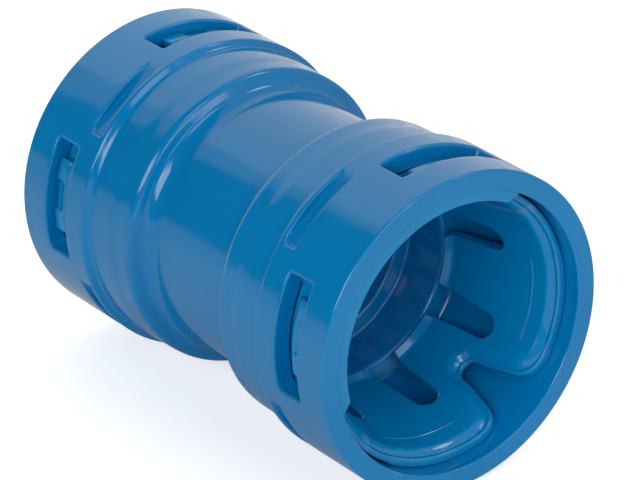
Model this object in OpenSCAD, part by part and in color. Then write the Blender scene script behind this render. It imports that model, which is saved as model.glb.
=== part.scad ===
// Push-in sleeve coupling for corrugated plastic conduit.
// A one-piece housing takes a tube in each end. A lock ring snaps into each mouth, held by four
// lugs in the housing's windows, and its eight sprung fingers grip the tube's corrugations.
// The common axis is X, and the origin is the middle of the housing on that axis.
// Angles are counted about X from +Y towards +Z.

/* [Housing] */
// Overall length
length = 50.8; // [48:0.2:56]
// Outer diameter of the collars
collar_d = 33; // [32.6:0.1:35]
// Diameter of the second ring beside each collar
ring_d = 31.4; // [31:0.1:32]
// Diameter of the neck at mid length
neck_d = 27.3; // [26.6:0.1:28.4]
// Length of the neck between its two shoulders
neck_len = 12; // [10:0.5:13]
// Bore of each mouth, where the lock ring sits
mouth_d = 28.9; // [28.8:0.05:29]
// Rounding chamfer on the outer edge of each end face
rim_chamfer = 0.25; // [0.1:0.05:0.8]

/* [Tube socket] */
// Outer diameter of the tube that the coupling takes
tube_d = 21.34; // [21.2:0.01:21.5]
// Gap between the tube and the socket, all on the diameter
tube_gap = 0.36; // [0.2:0.02:0.5]
// Bore through the tube stop
stop_d = 18.2; // [16:0.1:19]
// Length of the tube stop in the middle
stop_len = 7; // [3:0.5:8]

/* [Windows] */
// Windows round each collar
windows = 4; // [4]
// Angle of the first window's middle
window_at = 172.75; // [160:0.25:185]
// Angle that a window spans
window_span = 42.5; // [36:0.5:50]
// Width of a window along the axis
window_w = 3.55; // [3.4:0.05:3.8]
// Distance from the end face to a window
window_inset = 4; // [3.8:0.1:4.2]
// Greatest depth of the flat-bottomed relief in the collar between two windows
scoop_depth = 0.77; // [0.5:0.01:0.95]
// Angle that a relief spans, from its shallow end to its end wall
scoop_span = 32; // [24:1:34]

/* [Lock ring] */
// Clearance between the ring and the mouth, on the radius
ring_gap = 0.08; // [0.05:0.01:0.1]
// Distance that the ring floats each way along the axis
ring_float = 0.2; // [0.1:0.05:0.25]
// Inner diameter of the ring at its outer end
funnel_d = 26.5; // [26.4:0.1:27.2]
// Angle that a snap lug spans
lug_span = 29; // [20:1:32]
// Height of a snap lug above the ring
lug_h = 1.2; // [0.8:0.05:1.5]
// Depth of the low part in the middle of a snap lug
lug_dip = 0.35; // [0.1:0.05:0.5]
// Angle that the full-height part of the ring's rim spans
tall_span = 134; // [90:2:150]
// Depth of the low part of the rim below the full-height part
rim_drop = 1.65; // [1:0.05:2.4]
// Width of the pry notch at its widest straight part
notch_w = 3.8; // [3:0.1:5]
// Depth of the pry notch below the low rim
notch_depth = 7.55; // [6:0.05:9]

/* [Fingers] */
// Fingers on each ring
fingers = 8; // [8]
// Diameter inside the finger tips at rest
tip_d = 20.8; // [20.4:0.05:21]
// Length of a finger from its root to its tip
finger_len = 7.5; // [6.5:0.1:8]
// Thickness of a finger
finger_t = 1.2; // [0.9:0.05:1.3]
// Width of the slot between two fingers at its closed end
slot_w = 2.6; // [2:0.1:3]
// Width of the same slot at the finger tips
slot_tip_w = 3.2; // [2.6:0.1:3.4]

/* [Hidden] */
$fn = 96;
eps = 0.05;
half = length / 2;
R = collar_d / 2;
mouth_r = mouth_d / 2;
socket_r = (tube_d + tube_gap) / 2;
cavity_r = mouth_r - 1.45;      // cavity round the finger tips
collar_in = half - 10.65;       // inboard edge of the collar
step_w = 0.55;                  // width of the step down to the second ring
ring_in = 7.66;                 // inboard edge of the second ring
shoulder_in = 7.1;              // foot of the shoulder face
shoulder_r = neck_d / 2 + 0.55; // radius at the foot of the shoulder face
pitch = 360 / windows;
win_out = half - window_inset;
win_in = win_out - window_w;
scoop_w = 1.75;                 // width of a flat-bottomed relief
scoop_in = collar_in + 0.6;     // its inboard edge
scoop_from = window_at - 60.5;  // angle of its shallow end, where the flat meets the collar

ring_r = mouth_r - ring_gap;
ring_end = half - ring_float;
low_end = ring_end - rim_drop;
root_x = ring_end - 8.4;        // plane where the fingers hinge on the ring
root_gap = 0.1;
tip_x = root_x - finger_len;
root_in_r = 11.95;              // inner radius at the finger roots
root_out_r = root_in_r + finger_t;
barb_h = 0.85;                  // height of the barb at a finger tip
notch_at = window_at + 136.25;
tall_at = window_at - 43.25;

finger_pitch = 360 / fingers;

body_colour = "#0a6aa8";
ring_colour = "#0b74b4";
finger_colour = "#0d80c0";

// Turns a shape made about Z so that its axis is X, with its angles kept.
module along_x() rotate([90, 0, 90]) children();

// Makes the same shape again at the other end.
module both_ends() {
    children();
    mirror([0, 0, 1]) children();
}

// Part of a turned ring: a [radius, height] outline swept from one angle to another.
module sector(from, to, outline)
    rotate([0, 0, from]) rotate_extrude(angle = to - from) polygon(outline);

// Part of a plain ring with a rectangular section.
module band(from, to, r0, r1, x0, x1)
    sector(from, to, [[r0, x0], [r1, x0], [r1, x1], [r0, x1]]);

// ---- Housing ----

module housing_outside()
    both_ends() rotate_extrude() polygon([
        [0, 0], [neck_d / 2, 0], [neck_d / 2, neck_len / 2], [shoulder_r, shoulder_in],
        [ring_d / 2 - 0.1, ring_in - 0.05], [ring_d / 2, ring_in + 0.1], [ring_d / 2, collar_in - step_w],
        [R, collar_in], [R, half - rim_chamfer], [R - rim_chamfer, half], [0, half]]);

module housing_inside()
    both_ends() rotate_extrude() polygon([
        [0, -eps], [stop_d / 2, -eps], [stop_d / 2, stop_len / 2], [socket_r, stop_len / 2],
        [socket_r, tip_x - 0.5], [cavity_r, tip_x - 0.5], [mouth_r, tip_x + 4],
        [mouth_r, half + eps], [0, half + eps]]);

module window(i) {
    mid = window_at + i * pitch;
    band(mid - window_span / 2, mid + window_span / 2, mouth_r - 1, R + 1, win_in, win_out);
}

// A relief with a flat floor. It starts at nothing, where the flat meets the round of the collar,
// and ends a little past its deepest place in an end wall.
module scoop(i) {
    from = scoop_from + i * pitch;
    flat_at = from + acos(1 - scoop_depth / R);
    difference() {
        band(from - 2, from + scoop_span, R - 2, R + 1, scoop_in, scoop_in + scoop_w);
        rotate([0, 0, flat_at]) translate([R - scoop_depth - 20, -20, scoop_in - 1])
            cube([20, 40, scoop_w + 2]);
    }
}

module housing()
    color(body_colour) along_x() difference() {
        housing_outside();
        housing_inside();
        both_ends() for (i = [0 : windows - 1]) {
            window(i);
            scoop(i);
        }
    }

// ---- Lock ring ----

// The outline of a lug between its ramp, its top and its locking face.
function lug_outline(top, face) = [
    [ring_r - 0.6, win_in + ring_float + 0.1], [top, win_in + 1.75], [top, face], [ring_r - 0.6, face]];

// A snap lug: a ramp facing inboard and a locking face outboard, with a dip in the middle.
module lug(i) {
    mid = window_at + i * pitch;
    face = win_out - ring_float - 0.05;
    tooth = lug_span * 0.33;
    top = ring_r + lug_h;
    sector(mid - lug_span / 2, mid - lug_span / 2 + tooth, lug_outline(top, face));
    sector(mid + lug_span / 2 - tooth, mid + lug_span / 2, lug_outline(top, face));
    sector(mid - lug_span / 2 + tooth - 0.2, mid + lug_span / 2 - tooth + 0.2,
        lug_outline(top - lug_dip, face - 0.3));
}

// The slot between two fingers: straight sides that open towards the tips, and a round closed end.
module slot(i) {
    end_x = root_x + 0.4 - slot_w / 2;
    rotate([0, 0, window_at + (i + 0.5) * finger_pitch]) rotate([0, 90, 0])
        translate([-end_x, 0, 9]) union() {
            cylinder(d = slot_w, h = 6, $fn = 48);
            linear_extrude(6) polygon([
                [0, -slot_w / 2], [end_x - tip_x + 1, -slot_tip_w / 2],
                [end_x - tip_x + 1, slot_tip_w / 2], [0, slot_w / 2]]);
        }
}

// Points of a quarter arc from one corner's side to its other side.
function arc(cx, cy, r, from, to, steps) =
    [for (k = [0 : steps]) [cx + r * cos(from + (to - from) * k / steps),
                            cy + r * sin(from + (to - from) * k / steps)]];

// The pry notch, drawn flat with its depth along X and its width along Y, then cut radially.
module notch() {
    foot_r = 1.15;
    foot_x = low_end - notch_depth + foot_r;
    corner_r = 2.2;
    side_x = low_end + 0.15 - corner_r;
    half_w = notch_w / 2;
    half_outline = concat(
        [[foot_x, -foot_r]],
        [for (p = arc(side_x, -half_w - corner_r, corner_r, 90, 0, 8)) p],
        [[half + 1, -half_w - corner_r]]);
    mirrored = [for (k = [len(half_outline) - 1 : -1 : 0]) [half_outline[k][0], -half_outline[k][1]]];
    rotate([0, 0, notch_at]) rotate([0, -90, 180]) translate([0, 0, 9]) union() {
        translate([foot_x, 0, 0]) cylinder(r = foot_r, h = 7, $fn = 48);
        linear_extrude(7) polygon(concat(half_outline, mirrored));
    }
}

// The solid that the ring is cut from, outboard of the finger roots.
module ring_blank()
    rotate_extrude() polygon([
        [root_in_r, root_x], [root_out_r, root_x], [ring_r, root_x + 0.6],
        [ring_r, ring_end - 0.2], [ring_r - 0.2, ring_end], [funnel_d / 2, ring_end]]);

// The low part of the rim, with a bevel on its inner edge.
module low_rim()
    sector(tall_at + tall_span / 2, tall_at + 360 - tall_span / 2, [
        [11, low_end - 1], [12.9, low_end - 1], [ring_r - 0.7, low_end],
        [ring_r + 1, low_end], [ring_r + 1, half + 1], [11, half + 1]]);

module ring_shape() {
    difference() {
        ring_blank();
        low_rim();
        notch();
        for (i = [0 : fingers - 1]) slot(i);
    }
    for (i = [0 : windows - 1]) lug(i);
}

// One finger, with a barb at its tip that faces the tube as it comes in.
module finger_shape(i) {
    mid = window_at + i * finger_pitch;
    difference() {
        sector(mid - finger_pitch / 2, mid + finger_pitch / 2, [
            [root_in_r, root_x - root_gap], [root_out_r, root_x - root_gap],
            [root_out_r - 1, tip_x], [tip_d / 2, tip_x],
            [tip_d / 2 + barb_h, tip_x + barb_h]]);
        slot(i);
        slot(i - 1);
        if (i == 3) notch();
    }
}

module lock_ring_a() color(ring_colour) along_x() ring_shape();
module lock_ring_b() color(ring_colour) along_x() mirror([0, 0, 1]) ring_shape();
module finger_a(i) color(finger_colour) along_x() finger_shape(i);
module finger_b(i) color(finger_colour) along_x() mirror([0, 0, 1]) finger_shape(i);

housing();
lock_ring_a();
lock_ring_b();
finger_a(0);  // finger_a1
finger_a(1);  // finger_a2
finger_a(2);  // finger_a3
finger_a(3);  // finger_a4
finger_a(4);  // finger_a5
finger_a(5);  // finger_a6
finger_a(6);  // finger_a7
finger_a(7);  // finger_a8
finger_b(0);  // finger_b1
finger_b(1);  // finger_b2
finger_b(2);  // finger_b3
finger_b(3);  // finger_b4
finger_b(4);  // finger_b5
finger_b(5);  // finger_b6
finger_b(6);  // finger_b7
finger_b(7);  // finger_b8
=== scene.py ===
"""Looks of a push-in sleeve coupling for corrugated conduit.

Each moulding is described once, as a smooth signed distance field in cylindrical coordinates about
the coupling's axis, and meshed from it. A field is negative inside the plastic. Lengths in the
fields are millimetres. Angles are degrees about +X, from +Y towards +Z, as in the CAD model.
"""
import math

import bmesh
import bpy
import numpy as np
from mathutils import Euler, Matrix, Vector


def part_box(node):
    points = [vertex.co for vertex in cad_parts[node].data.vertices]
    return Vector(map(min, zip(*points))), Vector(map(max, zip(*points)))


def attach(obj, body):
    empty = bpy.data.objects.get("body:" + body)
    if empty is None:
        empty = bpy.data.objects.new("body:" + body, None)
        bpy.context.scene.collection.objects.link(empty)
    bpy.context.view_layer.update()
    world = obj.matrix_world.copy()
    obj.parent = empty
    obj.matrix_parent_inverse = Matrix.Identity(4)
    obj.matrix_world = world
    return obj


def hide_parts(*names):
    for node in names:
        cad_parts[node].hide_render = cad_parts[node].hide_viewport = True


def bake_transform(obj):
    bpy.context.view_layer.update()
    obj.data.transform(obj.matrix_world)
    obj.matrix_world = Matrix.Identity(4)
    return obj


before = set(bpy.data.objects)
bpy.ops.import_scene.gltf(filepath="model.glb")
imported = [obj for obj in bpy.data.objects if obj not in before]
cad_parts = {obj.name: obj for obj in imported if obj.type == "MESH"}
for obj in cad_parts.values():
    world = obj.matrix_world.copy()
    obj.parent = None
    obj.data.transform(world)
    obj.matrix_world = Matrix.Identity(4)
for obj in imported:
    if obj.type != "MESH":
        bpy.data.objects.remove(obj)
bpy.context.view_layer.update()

MM = 0.001
HOUSING_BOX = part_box("housing")
RING_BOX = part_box("lock_ring_a")
FINGER_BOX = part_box("finger_a3")

# ---- Sizes that the CAD model sets ----
HALF = HOUSING_BOX[1][0] / MM                # end face
COLLAR_R = HOUSING_BOX[1][1] / MM
RING_END = RING_BOX[1][0] / MM               # full-height rim of a lock ring
ROOT_X = RING_BOX[0][0] / MM - 0.05          # middle of the gap between the ring and its fingers
TIP_X = FINGER_BOX[0][0] / MM                # finger tips

# ---- Housing ----
BAND_R = 15.7                                # second ring beside the collar
NECK_R = 13.65
MOUTH_R = 14.45
SOCKET_R = 10.85
STOP_R = 9.1
STOP_X = 3.5
CONE_END_X = 13.0                            # the cone round the finger tips opens into the mouth here
CONE_DEPTH = 1.45
COLLAR_IN = (14.2, 14.75)                    # foot and top of the step up to the collar
SHOULDER = (6.0, 7.1, 7.66)                  # fillet's start, foot and top of the shoulder face
WINDOW_AT = 172.75                           # middle of the first window
WINDOW_PITCH = 90.0
WINDOW_SPAN = 42.5
WINDOW_X = (HALF - 7.55, HALF - 4.0)
SCOOP_FROM = WINDOW_AT - 60.5                # shallow end of the first flat-bottomed relief
SCOOP_SPAN = 32.0
SCOOP_X = (15.35, 17.1)
SCOOP_DEPTH = 0.77

# ---- Lock ring ----
RING_WALL = 1.2
RING_R = 14.37                               # rim, a close fit in the mouth
FUNNEL_X = 17.3                              # the funnel turns steeper here
FUNNEL_R = 12.0
FUNNEL_SLOPE = 0.135
FUNNEL_TURN = 0.025                          # the slope changes by this much on each side of the turn
RIM_BAND_X = 21.4                            # the rim's full-radius band starts here
PAD_X = 17.5                                 # and here under a window
PAD_SPAN = 45.0
LOW_END = RING_END - 1.65                    # low part of the rim
TALL_AT = WINDOW_AT - 43.25
TALL_SPAN = 134.0
TALL_SLANT = 3.6                             # degrees that the tall part's ends lean per millimetre
TALL_SPAN_R = 13.9                           # radius at which its span is measured
NOTCH_AT = WINDOW_AT + 136.25
NOTCH_FOOT_X = 16.0
NOTCH_R = 13.3                               # radius at which its width is measured
EDGE_FADE = (1, 8)                           # degrees past the tall part over which bevel and groove grow
BEVEL_DEPTH = 0.6
BEAD_SPAN = 148.0                            # angle that the beaded edge covers
BEAD_FADE = 9.0
LIP_HEIGHT = 0.16
GROOVE_DEPTH = 0.45
WITNESS_X = 20.7                             # raised line of the mould's parting
WITNESS_HEIGHT = 0.09
LUG_SPAN = 29.0
LUG_X = (17.95, 19.5, HALF - 4.35)            # foot and top of the ramp, and locking face
LUG_R = 15.25
TOOTH_R = 15.6                               # the raised ends of a lug
TOOTH_SPAN = 9.0
SLOT_END_X = 15.9                            # centre of a finger slot's round end
SLOT_R = 1.3
SLOT_TIP_W = 3.2
TIP_R = 10.4
BARB_SLOPE = 1.0
FINGERS = 8
FINGER_PITCH = 360 / FINGERS

# ---- Studio ----
SWEEP_SIDE = (-0.259, 0.966, 0.0)            # towards the white sweep
SWEEP_BLUR = 0.015                           # half-width of the sweep's soft edge, as a cosine
SWEEP_LEVEL = 0.5
ROOM_LEVEL = 0.04
FLOOR_GLOW = 0.6
HOUSING_BLUE = (0.0, 0.225, 0.545)
RING_BLUE = (0.0, 0.25, 0.56)


# ---- Fields ----

def smooth_max(a, b, k):
    """The larger of two fields, blended over k: a rounded edge of an intersection."""
    h = np.maximum(k - np.abs(a - b), 0)
    return np.maximum(a, b) + h * h / (4 * k)


def smooth_min(a, b, k):
    """The smaller of two fields, blended over k: a filleted union."""
    return -smooth_max(-a, -b, k)


def ramp(t, low, high):
    """0 below low and 1 above high, with a smooth rise between them."""
    u = np.clip((t - low) / (high - low), 0, 1)
    return u * u * (3 - 2 * u)


def bump(t, centre, width):
    """A smooth bump of height 1."""
    return np.exp(-((t - centre) / width) ** 2)


def from_nearest(angle, first, pitch=360.0):
    """Angle from the nearest of a pattern's centres, from -pitch/2 to pitch/2."""
    return (angle - first + pitch / 2) % pitch - pitch / 2


def arc(degrees, r):
    """Length of an arc."""
    return np.radians(degrees) * r


def above(x, r, start, end):
    """Distance above the line from start to end in the (x, r) half-plane, seen along it."""
    dx, dr = end[0] - start[0], end[1] - start[1]
    return ((r - start[1]) * dx - (x - start[0]) * dr) / math.hypot(dx, dr)


def housing_outside(x, r):
    """Neck, shoulder, second ring and collar."""
    shoulder_r = NECK_R + 0.5
    band = r - BAND_R
    fillet = smooth_max(above(x, r, (SHOULDER[0], NECK_R), (SHOULDER[1], shoulder_r)), band, 0.3)
    shoulder = smooth_max(above(x, r, (SHOULDER[1], shoulder_r), (SHOULDER[2], BAND_R)), band, 0.45)
    collar = smooth_max(above(x, r, (COLLAR_IN[0], BAND_R), (COLLAR_IN[1], COLLAR_R)), r - COLLAR_R, 0.14)
    field = smooth_min(smooth_min(r - NECK_R, fillet, 0.3), shoulder, 0.35)
    return smooth_max(smooth_min(field, collar, 0.25), x - HALF, 0.25)


def housing_inside(x, r):
    """Mouth, cone round the finger tips, tube socket and stop."""
    step_x = TIP_X - 0.5
    cone = above(x, r, (step_x, MOUTH_R - CONE_DEPTH), (CONE_END_X, MOUTH_R))
    mouth = smooth_max(smooth_max(r - MOUTH_R, cone, 0.3), step_x - x, 0.4)
    socket = smooth_max(r - SOCKET_R, STOP_X - x, 0.3)
    return smooth_min(smooth_min(mouth, socket, 0.4), r - STOP_R, 0.4)


def windows(x, angle, r):
    """The four windows, with rounded corners."""
    side = np.abs(from_nearest(angle, WINDOW_AT, WINDOW_PITCH)) - WINDOW_SPAN / 2
    middle, half_w = sum(WINDOW_X) / 2, (WINDOW_X[1] - WINDOW_X[0]) / 2
    opening = smooth_max(arc(side, r), np.abs(x - middle) - half_w, 0.3)
    return smooth_max(opening, MOUTH_R - 1 - r, 0.3)


def scoops(x, angle, r):
    """Reliefs with a flat floor, from nothing where the flat meets the collar to an end wall."""
    flat_at = SCOOP_FROM + math.degrees(math.acos(1 - SCOOP_DEPTH / COLLAR_R))
    turn = from_nearest(angle, flat_at, WINDOW_PITCH)
    floor = COLLAR_R - SCOOP_DEPTH - r * np.cos(np.radians(turn))
    middle, half_w = sum(SCOOP_X) / 2, (SCOOP_X[1] - SCOOP_X[0]) / 2
    end = arc(turn - (SCOOP_FROM + SCOOP_SPAN - flat_at), r)
    sides = smooth_max(np.abs(x - middle) - half_w, end, 0.5)
    return smooth_max(floor, sides, 0.12)


def housing_field(x, angle, r):
    x = np.abs(x)
    field = smooth_max(housing_outside(x, r), -housing_inside(x, r), 0.2)
    field = smooth_max(field, -windows(x, angle, r), 0.3)
    return smooth_max(field, -scoops(x, angle, r), 0.2)


def ring_inner_r(x):
    """The funnel that guides the tube in, less steep along the fingers."""
    past = x - FUNNEL_X
    return FUNNEL_R + FUNNEL_SLOPE * past + FUNNEL_TURN * np.hypot(past, 1.0)


def rim(x, angle, r):
    """The ring's outboard end: a low part with the pry notch, and a full-height part.

    Returns the field of the low part's edge, the field of the end face, and the degrees past the tall
    part.
    """
    side = np.abs(from_nearest(angle, TALL_AT)) - TALL_SPAN / 2 - TALL_SLANT * (r - TALL_SPAN_R)
    low = smooth_min(x - LOW_END, arc(side, r), 0.3)
    across = np.abs(arc(from_nearest(angle, NOTCH_AT), NOTCH_R))
    foot_r, mouth_w, corner_r = 1.15, 1.9, 2.2
    foot = np.hypot(np.minimum(x - NOTCH_FOOT_X - foot_r, 0), across) - foot_r
    flare = foot_r + (mouth_w - foot_r) * ramp(x, NOTCH_FOOT_X + foot_r, LOW_END - corner_r)
    slit = np.where(x < NOTCH_FOOT_X + foot_r, foot, across - flare)
    edge = smooth_max(low, -slit, 1.55 * corner_r)
    return edge, x - RING_END, side


def slots(x, angle, r):
    """The eight slots between the fingers, each with a round closed end."""
    across = np.abs(arc(from_nearest(angle, WINDOW_AT + FINGER_PITCH / 2, FINGER_PITCH), r))
    wide = SLOT_R + (SLOT_TIP_W / 2 - SLOT_R) * (SLOT_END_X - x) / (SLOT_END_X - TIP_X)
    return np.where(x < SLOT_END_X, across - wide, np.hypot(across, x - SLOT_END_X) - SLOT_R)


def lugs(x, angle, r):
    """Four snap lugs: a ramp, a locking face, and a dip between two raised ends."""
    side = np.abs(from_nearest(angle, WINDOW_AT, WINDOW_PITCH))
    tooth = ramp(side, LUG_SPAN / 2 - TOOTH_SPAN - 0.5, LUG_SPAN / 2 - TOOTH_SPAN + 0.5)
    top = TOOTH_R - (TOOTH_R - LUG_R) * (1 - tooth) * ramp(x, LUG_X[1] - 0.2, LUG_X[1] + 0.8)
    slope = above(x, r, (LUG_X[0], RING_R - 0.6), (LUG_X[1], TOOTH_R))
    field = smooth_max(smooth_max(r - top, slope, 0.2), x - LUG_X[2], 0.25)
    field = smooth_max(field, arc(side - LUG_SPAN / 2, r), 0.25)
    return smooth_max(field, ring_inner_r(x) + 0.4 - r, 0.2)


def ring_field(x, angle, r):
    """The lock ring with its fingers."""
    edge, end, side = rim(x, angle, r)
    inner = ring_inner_r(x)
    from_window = np.abs(from_nearest(angle, WINDOW_AT, WINDOW_PITCH))
    faded = ramp(side, *EDGE_FADE)

    # The beaded edge: the bore opens in a bevel, then a round lip stands up along the edge itself.
    beaded = 1 - ramp(np.abs(from_nearest(angle, NOTCH_AT)), BEAD_SPAN / 2 - BEAD_FADE, BEAD_SPAN / 2)
    bevel = BEVEL_DEPTH * np.clip((edge + 1.3) / 0.9, 0, 1) ** 1.9 * faded
    lip = LIP_HEIGHT * bump(edge, -0.12, 0.18)
    witness = bump(x, WITNESS_X, 0.09) * ramp(-from_window, -22, -19)
    # 0.98 here and 0.71 below scale a sloping field back to about a true distance.
    bore = (inner + bevel - beaded * lip - WITNESS_HEIGHT * witness - r) * 0.98

    barb = (TIP_R + BARB_SLOPE * (x - TIP_X) - r) * 0.71
    bore = smooth_min(bore, barb, 0.12)

    wall = (r - inner - RING_WALL + 0.04 * np.clip(ROOT_X - x, 0, 8)) * 0.98
    padded = 1 - ramp(from_window, PAD_SPAN / 2, PAD_SPAN / 2 + 2.5)
    groove = GROOVE_DEPTH * (1 - beaded) * np.clip((edge + 1.1) / 1.0, 0, 1) * faded
    band = smooth_max(r - RING_R + groove, RIM_BAND_X + (PAD_X - RIM_BAND_X) * padded - x, 0.4)
    outside = smooth_min(wall, band, 0.6)

    field = smooth_max(bore, outside, 0.15)
    field = smooth_max(field, TIP_X - x, 0.2)
    field = smooth_min(field, lugs(x, angle, r), 0.25)
    field = smooth_max(field, smooth_max(edge, end, 0.15), 0.18 + 0.14 * beaded)
    return smooth_max(field, -slots(x, angle, r), 0.2)


# ---- Meshing ----

def graded(*stretches):
    """Grid lines from (end, step) stretches that follow each other from the first value."""
    lines = [np.array([stretches[0]], float)]
    for end, step in stretches[1:]:
        start = lines[-1][-1]
        count = max(1, round((end - start) / step))
        lines.append(np.linspace(start, end, count + 1)[1:])
    return np.concatenate(lines)


def gradient(field, p):
    """Gradient of a field at points given as (x, angle, r), per millimetre along each of the three."""
    step = 0.01
    turn = np.degrees(step / p[:, 2])
    x, angle, r = p.T
    return np.stack([
        (field(x + step, angle, r) - field(x - step, angle, r)) / (2 * step),
        (field(x, angle + turn, r) - field(x, angle - turn, r)) / (2 * step),
        (field(x, angle, r + step) - field(x, angle, r - step)) / (2 * step)], axis=1)


def to_surface(field, p, longest=0.2, passes=6):
    """Moves points onto the field's zero surface."""
    for _ in range(passes):
        g = gradient(field, p)
        size = np.maximum((g * g).sum(axis=1), 0.04)
        move = -g * (field(*p.T) / size)[:, None]
        length = np.linalg.norm(move, axis=1)
        move *= np.minimum(1, longest / np.maximum(length, 1e-9))[:, None]
        p = p + np.stack([move[:, 0], np.degrees(move[:, 1] / p[:, 2]), move[:, 2]], axis=1)
    return p


def surface_net(field, xs, angles, rs):
    """Quads round the solid part of a field, on a grid that closes in angle.

    One vertex stands for each grid cell that the surface crosses, and one quad for each grid edge.
    Returns the vertices as (x, angle, r) and the quads.
    """
    lines = [xs, np.append(angles, angles[0] + 360), rs]
    values = field(*np.meshgrid(xs, angles, rs, indexing="ij"))
    values = np.concatenate([values, values[:, :1]], axis=1)
    inside = values < 0
    cells = [n - 1 for n in values.shape]
    total = np.zeros((*cells, 3))
    count = np.zeros(cells)
    crossings = []
    for axis in range(3):
        low = [slice(None)] * 3
        high = [slice(None)] * 3
        low[axis], high[axis] = slice(0, -1), slice(1, None)
        f0, f1 = values[tuple(low)], values[tuple(high)]
        crossed = inside[tuple(low)] != inside[tuple(high)]
        index = np.argwhere(crossed)
        share = f0[crossed] / (f0[crossed] - f1[crossed])
        point = np.stack([lines[a][index[:, a]] for a in range(3)], axis=1)
        point[:, axis] += share * np.diff(lines[axis])[index[:, axis]]
        crossings.append((index, inside[tuple(low)][crossed]))
        others = [a for a in range(3) if a != axis]
        for back_a in (0, 1):
            for back_b in (0, 1):
                cell = index.copy()
                cell[:, others[0]] -= back_a
                cell[:, others[1]] -= back_b
                ok = np.all((cell >= 0) & (cell < cells), axis=1)
                np.add.at(total, tuple(cell[ok].T), point[ok])
                np.add.at(count, tuple(cell[ok].T), 1)
    used = count > 0
    number = np.full(cells, -1)
    number[used] = np.arange(used.sum())
    vertices = total[used] / count[used][:, None]

    quads = []
    for axis, (index, starts_inside) in enumerate(crossings):
        # The last line in angle is the first one again, so its edges are counted once.
        if axis != 1:
            keep = index[:, 1] < cells[1]
            index, starts_inside = index[keep], starts_inside[keep]
        a, b = [n for n in range(3) if n != axis]
        corners = []
        for back_a, back_b in ((1, 1), (0, 1), (0, 0), (1, 0)):
            cell = index.copy()
            cell[:, a] -= back_a
            cell[:, b] -= back_b
            cell[:, 1] %= cells[1]
            corners.append(number[tuple(cell.T)])
        quad = np.stack(corners, axis=1)
        backward = ~starts_inside if axis == 1 else starts_inside
        quad[backward] = quad[backward][:, ::-1]
        quads.append(quad)
    return vertices, np.concatenate(quads)


def cartesian(p):
    """(x, angle, r) in millimetres and degrees to metres in the frame."""
    turn = np.radians(p[:, 1])
    return np.stack([p[:, 0], p[:, 2] * np.cos(turn), p[:, 2] * np.sin(turn)], axis=1) * MM


def cylindrical(v):
    """Metres in the frame to (x, angle, r)."""
    return np.stack([v[:, 0], np.degrees(np.arctan2(v[:, 2], v[:, 1])) % 360,
                     np.hypot(v[:, 1], v[:, 2])], axis=1) / np.array([MM, 1, MM])


def surface_normals(field, v):
    """Outward unit normals of a field at points in the frame."""
    p = cylindrical(v)
    g = gradient(field, p)
    turn = np.radians(p[:, 1])
    out = np.stack([g[:, 0], g[:, 2] * np.cos(turn) - g[:, 1] * np.sin(turn),
                    g[:, 2] * np.sin(turn) + g[:, 1] * np.cos(turn)], axis=1)
    return out / np.maximum(np.linalg.norm(out, axis=1), 1e-9)[:, None]


def moulding(name, field, xs, angles, rs):
    """A mesh of a field, as bmesh."""
    points, quads = surface_net(field, xs, angles, rs)
    points = to_surface(field, points)
    mesh = bpy.data.meshes.new(name)
    mesh.from_pydata(cartesian(points).tolist(), [], quads.tolist())
    bm = bmesh.new()
    bm.from_mesh(mesh)
    bpy.data.meshes.remove(mesh)
    return bm


def finish_piece(name, bm, field, material, mirrored=False):
    """An object from a bmesh, shaded with the field's own normals, at the near or the far end."""
    mesh = bpy.data.meshes.new(name)
    bm.to_mesh(mesh)
    bm.free()
    count = len(mesh.vertices)
    v = np.empty(count * 3)
    mesh.vertices.foreach_get("co", v)
    v = v.reshape(-1, 3)
    normals = surface_normals(field, v)
    if mirrored:
        mesh.transform(Matrix.Diagonal((-1, 1, 1, 1)))
        mesh.flip_normals()
        normals = normals * np.array([-1, 1, 1])
    mesh.shade_smooth()
    loops = np.empty(len(mesh.loops), int)
    mesh.loops.foreach_get("vertex_index", loops)
    corner = normals[loops]
    # Only the flat fill of a cut, and some slivers beside it, have more than four corners.
    for polygon in mesh.polygons:
        if len(polygon.vertices) > 4:
            corner[polygon.loop_start:polygon.loop_start + polygon.loop_total] = polygon.normal
    mesh.normals_split_custom_set(corner.tolist())
    mesh.materials.append(material)
    piece = bpy.data.objects.new(name, mesh)
    bpy.context.collection.objects.link(piece)
    return piece


# ---- Materials ----

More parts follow.
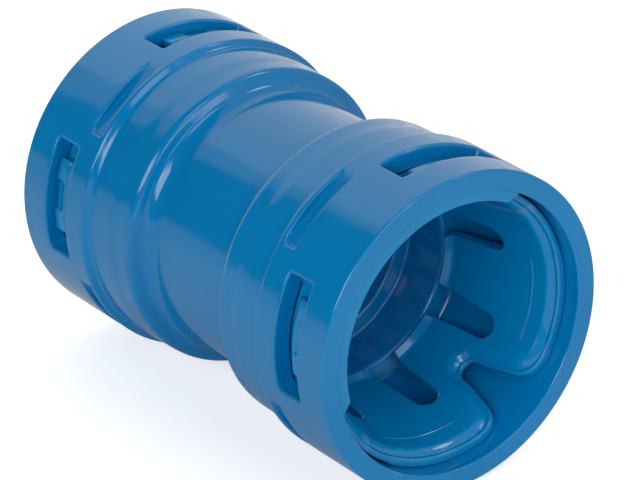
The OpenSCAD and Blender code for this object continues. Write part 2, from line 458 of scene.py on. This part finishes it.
def moulded_plastic(name, colour):
    """Glossy coloured polymer with slight flow marks, a faint skin texture and paler, worn edges."""
    material = bpy.data.materials.new(name)
    material.use_nodes = True
    tree = material.node_tree
    nodes, link = tree.nodes, tree.links.new
    shader = nodes["Principled BSDF"]
    where = nodes.new("ShaderNodeTexCoord").outputs["Object"]

    def noise(scale, detail, stretch=(1, 1, 1)):
        mapping = nodes.new("ShaderNodeMapping")
        mapping.inputs["Scale"].default_value = stretch
        link(where, mapping.inputs["Vector"])
        texture = nodes.new("ShaderNodeTexNoise")
        texture.inputs["Scale"].default_value = scale
        texture.inputs["Detail"].default_value = detail
        link(mapping.outputs["Vector"], texture.inputs["Vector"])
        return texture.outputs["Fac"]

    def spread(value, low, high):
        node = nodes.new("ShaderNodeMapRange")
        node.inputs["From Min"].default_value = 0.3
        node.inputs["From Max"].default_value = 0.7
        node.inputs["To Min"].default_value = low
        node.inputs["To Max"].default_value = high
        link(value, node.inputs["Value"])
        return node.outputs["Result"]

    # Pigment drifts a little along the flow, which runs along the axis.
    pigment = nodes.new("ShaderNodeMix")
    pigment.data_type = "RGBA"
    pigment.inputs["A"].default_value = (*[c * 0.93 for c in colour], 1)
    pigment.inputs["B"].default_value = (*[min(1, c * 1.06) for c in colour], 1)
    link(spread(noise(90, 4, (0.4, 1, 1)), 0, 1), pigment.inputs["Factor"])

    # Edges and corners are rubbed paler.
    edge = nodes.new("ShaderNodeMapRange")
    edge.inputs["From Min"].default_value = 0.53
    edge.inputs["From Max"].default_value = 0.66
    edge.inputs["To Max"].default_value = 0.3
    link(nodes.new("ShaderNodeNewGeometry").outputs["Pointiness"], edge.inputs["Value"])
    worn = nodes.new("ShaderNodeMix")
    worn.data_type = "RGBA"
    worn.inputs["B"].default_value = (*[c * 0.7 + 0.16 for c in colour], 1)
    link(edge.outputs["Result"], worn.inputs["Factor"])
    link(pigment.outputs["Result"], worn.inputs["A"])
    link(worn.outputs["Result"], shader.inputs["Base Color"])

    link(spread(noise(260, 6), 0.085, 0.135), shader.inputs["Roughness"])
    shader.inputs["IOR"].default_value = 1.52
    shader.inputs["Subsurface Weight"].default_value = 0.05
    shader.inputs["Subsurface Radius"].default_value = (0.2, 0.6, 1.0)
    shader.inputs["Subsurface Scale"].default_value = 0.0006

    # A broad, shallow waviness from shrinkage, and the mould's fine skin.
    skin = nodes.new("ShaderNodeBump")
    skin.inputs["Strength"].default_value = 0.06
    skin.inputs["Distance"].default_value = 0.00002
    link(noise(2600, 3), skin.inputs["Height"])
    sink = nodes.new("ShaderNodeBump")
    sink.inputs["Strength"].default_value = 0.25
    sink.inputs["Distance"].default_value = 0.00012
    link(noise(120, 2), sink.inputs["Height"])
    link(skin.outputs["Normal"], sink.inputs["Normal"])
    link(sink.outputs["Normal"], shader.inputs["Normal"])
    return material


def light_table(name, glow):
    """White acrylic, overexposed to the camera."""
    material = bpy.data.materials.new(name)
    material.use_nodes = True
    shader = material.node_tree.nodes["Principled BSDF"]
    shader.inputs["Base Color"].default_value = (0.86, 0.86, 0.86, 1)
    shader.inputs["Roughness"].default_value = 0.9
    shader.inputs["Specular IOR Level"].default_value = 0.0
    shader.inputs["Emission Color"].default_value = (1, 1, 1, 1)
    level = material.node_tree.nodes.new("ShaderNodeMath")
    level.operation = "MULTIPLY"
    level.inputs[1].default_value = glow
    seen = material.node_tree.nodes.new("ShaderNodeLightPath").outputs["Is Camera Ray"]
    material.node_tree.links.new(seen, level.inputs[0])
    material.node_tree.links.new(level.outputs["Value"], shader.inputs["Emission Strength"])
    return material


# ---- Pieces ----

def make_housing(material):
    half = graded(0, (5.6, 0.7), (8.0, 0.2), (14.05, 0.6), (14.95, 0.13), (17.6, 0.3), (18.1, 0.17),
                  (21.1, 0.43), (21.7, 0.17), (24.4, 0.54), (25.7, 0.16))
    xs = np.concatenate([-half[:0:-1], half])
    angles = np.arange(0, 360, 1.44)
    rs = graded(8.3, (9.7, 0.2), (13.1, 0.34), (14.9, 0.2), (16.0, 0.27), (17.1, 0.15))
    bm = moulding("housing_skin", housing_field, xs, angles, rs)
    piece = finish_piece("housing_body", bm, housing_field, material)
    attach(piece, "housing")
    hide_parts("housing")


def split_ring():
    """The lock ring's mesh, cut into the ring itself and its eight fingers, each closed."""
    xs = graded(8.9, (10.9, 0.2), (14.6, 0.46), (17.6, 0.2), (20.4, 0.28), (20.55, 0.15), (20.85, 0.06),
                (21.5, 0.16), (23.7, 0.17), (24.9, 0.4), (25.6, 0.14))
    near_notch = graded(NOTCH_AT - 30, (NOTCH_AT + 30, 0.75))
    rest = graded(NOTCH_AT + 30, (NOTCH_AT + 330, 1.2))[1:-1]
    angles = np.sort(np.concatenate([near_notch, rest]) % 360)
    rs = graded(9.9, (13.5, 0.24), (14.7, 0.17), (16.2, 0.24))
    whole = moulding("ring_skin", ring_field, xs, angles, rs)
    plane = dict(plane_co=(ROOT_X * MM, 0, 0), plane_no=(1, 0, 0), dist=1e-7)

    def kept(outboard):
        bm = whole.copy()
        geometry = bm.verts[:] + bm.edges[:] + bm.faces[:]
        bmesh.ops.bisect_plane(bm, geom=geometry, clear_inner=outboard, clear_outer=not outboard, **plane)
        cut_edges = [e for e in bm.edges if e.is_boundary]
        bmesh.ops.holes_fill(bm, edges=cut_edges, sides=0)
        return bm

    ring, all_fingers = kept(True), kept(False)
    whole.free()
    fingers = []
    for i in range(FINGERS):
        bm = all_fingers.copy()
        middle = math.radians(WINDOW_AT + FINGER_PITCH * i)
        towards = Vector((0, math.cos(middle), math.sin(middle)))
        reach = math.radians(FINGER_PITCH / 2)
        others = [v for v in bm.verts if Vector((0, v.co.y, v.co.z)).angle(towards) > reach]
        bmesh.ops.delete(bm, geom=others, context="VERTS")
        fingers.append(bm)
    all_fingers.free()
    return ring, fingers


def make_lock_rings(material):
    ring, fingers = split_ring()
    for end, mirrored in (("a", False), ("b", True)):
        ring_name = f"lock_ring_{end}"
        body = finish_piece(f"{ring_name}_body", ring.copy(), ring_field, material,
                            mirrored)
        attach(body, ring_name)
        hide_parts(ring_name)
        for i, finger in enumerate(fingers):
            node = f"finger_{end}{i + 1}"
            piece = finish_piece(f"{node}_body", finger.copy(), ring_field, material,
                                 mirrored)
            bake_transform(piece)
            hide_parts(node)


# ---- Stage ----

def make_floor():
    bpy.ops.mesh.primitive_plane_add(size=4, location=(0, 0, HOUSING_BOX[0][2] - 0.0001))
    floor = bpy.context.object
    floor.name = "floor"
    floor.data.materials.append(light_table("white_acrylic", FLOOR_GLOW))


def direction(azimuth, elevation):
    """Unit vector out from the coupling. Azimuth 0 is on the -Y side, 90 on the +X side."""
    a, e = math.radians(azimuth), math.radians(elevation)
    return Vector((math.sin(a) * math.cos(e), -math.cos(a) * math.cos(e), math.sin(e)))


def place(thing, location, facing):
    """Puts a camera or a lamp in the scene, facing along a vector, with its top up."""
    thing.location = location
    thing.rotation_mode = "QUATERNION"
    thing.rotation_quaternion = facing.to_track_quat("-Z", "Y")
    bpy.context.collection.objects.link(thing)


def make_camera():
    """A long lens, about 0.39 m away and 54 degrees round from square on, tilted a third of a degree."""
    back, distance = direction(53.77, 25.304), 0.38866
    tilt = Euler((0, 0, math.radians(-0.316))).to_quaternion()
    data = bpy.data.cameras.new("camera")
    data.lens = 220.195
    data.shift_x = 0.0282
    data.shift_y = 0.0041
    data.clip_start = 0.01
    camera = bpy.data.objects.new("camera", data)
    place(camera, back * distance, -back)
    camera.rotation_quaternion = camera.rotation_quaternion @ tilt
    bpy.context.scene.camera = camera


def make_world():
    """A studio: a white sweep behind the coupling, a dark room in front of it, and white to the camera."""
    world = bpy.data.worlds.new("studio")
    bpy.context.scene.world = world
    world.use_nodes = True
    nodes, link = world.node_tree.nodes, world.node_tree.links.new
    side = nodes.new("ShaderNodeVectorMath")
    side.operation = "DOT_PRODUCT"
    side.inputs[1].default_value = SWEEP_SIDE
    link(nodes.new("ShaderNodeTexCoord").outputs["Generated"], side.inputs[0])
    level = nodes.new("ShaderNodeMapRange")
    level.inputs["From Min"].default_value = -SWEEP_BLUR
    level.inputs["From Max"].default_value = SWEEP_BLUR
    level.inputs["To Min"].default_value = ROOM_LEVEL
    level.inputs["To Max"].default_value = SWEEP_LEVEL
    link(side.outputs["Value"], level.inputs["Value"])
    seen = nodes.new("ShaderNodeMix")
    seen.inputs["B"].default_value = 1.0
    link(nodes.new("ShaderNodeLightPath").outputs["Is Camera Ray"], seen.inputs["Factor"])
    link(level.outputs["Result"], seen.inputs["A"])
    link(seen.outputs["Result"], nodes["Background"].inputs["Strength"])
    nodes["Background"].inputs["Color"].default_value = (1, 1, 1, 1)


def area_lamp(name, size, watts, location, facing):
    """A rectangular lamp that the camera doesn't see."""
    data = bpy.data.lights.new(name, "AREA")
    data.shape = "RECTANGLE"
    data.size, data.size_y = size
    data.energy = watts
    lamp = bpy.data.objects.new(name, data)
    lamp.visible_camera = False
    place(lamp, location, facing)


def softbox(name, azimuth, elevation, size, watts):
    """A soft lamp 0.8 m from the coupling, facing it."""
    back = direction(azimuth, elevation)
    area_lamp(name, size, watts, back * 0.8, -back)


def sweep_card():
    """A card as bright as the sweep, upright on the floor 0.1 m off on the -X side, facing +X."""
    card_x, front, back, top = -0.1025, -0.0563, 0.15, 0.25
    foot = HOUSING_BOX[0][2]
    size = (back - front, top - foot)
    middle = (card_x, (front + back) / 2, (foot + top) / 2)
    area_lamp("sweep_card", size, SWEEP_LEVEL * math.pi * size[0] * size[1], middle, Vector((1, 0, 0)))


def make_lights():
    sweep_card()
    softbox("key_box", 20, 26, (0.5, 0.34), 2.5)
    softbox("front_box", 52, 18, (0.24, 0.2), 0.95)
    softbox("right_box", 86, 41, (0.3, 0.3), 0.65)
    softbox("low_box", 98, 9, (0.4, 0.2), 0.6)
    softbox("rim_box", 140, 45, (0.17, 0.17), 0.5)


bpy.context.scene.view_settings.view_transform = "Standard"
make_camera()
make_world()
make_lights()
make_floor()
make_housing(moulded_plastic("blue_housing", HOUSING_BLUE))
make_lock_rings(moulded_plastic("blue_ring", RING_BLUE))
